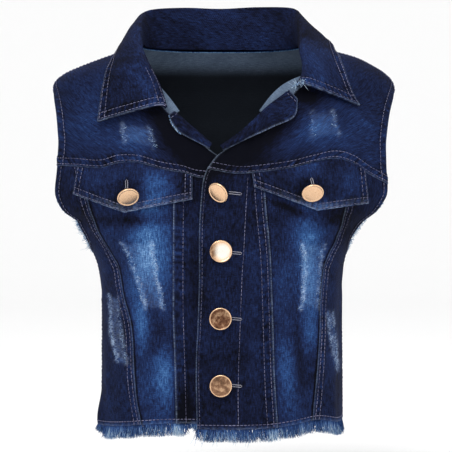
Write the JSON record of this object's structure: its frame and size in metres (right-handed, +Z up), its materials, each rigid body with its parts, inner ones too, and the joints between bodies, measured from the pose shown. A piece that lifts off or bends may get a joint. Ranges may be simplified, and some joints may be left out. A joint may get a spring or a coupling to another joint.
{
  "type": "denim vest",
  "caption": "Cropped sleeveless denim vest for a child, filled out as worn, with pointed collar, tack-button front, buttoned pocket flaps, frayed hem and frayed armholes",
  "frame": {"origin": "midway between the shoulder seams, level with the inner face of the cloth at mid shoulder, where the wearer's shoulders carry the vest", "axes": "+Z up, the buttoned front faces -Y, +X is the side of the wearer's left hand"},
  "size_m": [0.2704, 0.1881, 0.3483],
  "materials": {
    "denim_dark": "dark indigo cotton twill, matt",
    "denim_faded": "washed and faded indigo cotton twill, matt",
    "denim_reverse": "light reverse side of indigo denim, matt",
    "denim_frayed": "loose frayed cotton threads, matt",
    "brass": "polished rose brass"
  },
  "bodies": {
    "root": {"back": "denim_dark", "front_centre_left": "denim_dark", "front_centre_right": "denim_dark", "front_pocket_panel_left": "denim_faded", "front_pocket_panel_right": "denim_faded", "front_side_left": "denim_dark", "front_side_right": "denim_dark", "front_yoke_left": "denim_faded", "front_yoke_right": "denim_faded", "collar": "denim_dark", "lapel_left": "denim_dark", "lapel_right": "denim_dark", "facing_left": "denim_reverse", "facing_right": "denim_reverse", "flap_left": "denim_dark", "flap_right": "denim_dark", "hem_fringe_left": "denim_frayed", "hem_fringe_right": "denim_frayed", "hem_fringe_back": "denim_frayed", "armhole_fringe_left": "denim_frayed", "armhole_fringe_right": "denim_frayed", "button_1": "brass", "button_2": "brass", "button_3": "brass", "button_4": "brass", "button_flap_left": "brass", "button_flap_right": "brass"}
  },
  "joints": []
}
